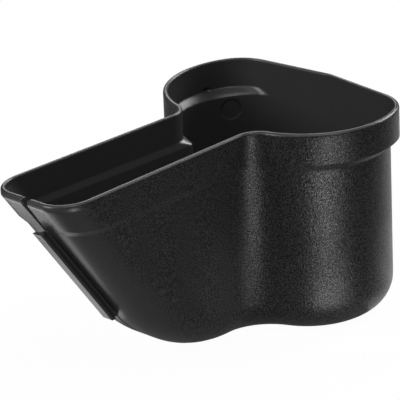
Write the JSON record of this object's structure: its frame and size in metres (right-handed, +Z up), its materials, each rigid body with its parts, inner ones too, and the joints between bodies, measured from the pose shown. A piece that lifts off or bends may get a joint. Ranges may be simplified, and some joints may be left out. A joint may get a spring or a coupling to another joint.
{
  "type": "car cup holder",
  "caption": "Open moulded cup holder for a car: rounded well under a wide collar, straight channel running to a sloping nose, and a slide rail down the outside of the nose.",
  "frame": {"origin": "middle of the part's outer box, on the plane of its flat base", "axes": "+X from the nose towards the cup well, +Z up out of the open top"},
  "size_m": [0.2212, 0.1324, 0.1115],
  "materials": {
    "black_plastic": "fine moulded grain outside, smooth satin inside and on the nose"
  },
  "bodies": {
    "root": {"cup_holder_body": "black_plastic"}
  },
  "joints": []
}
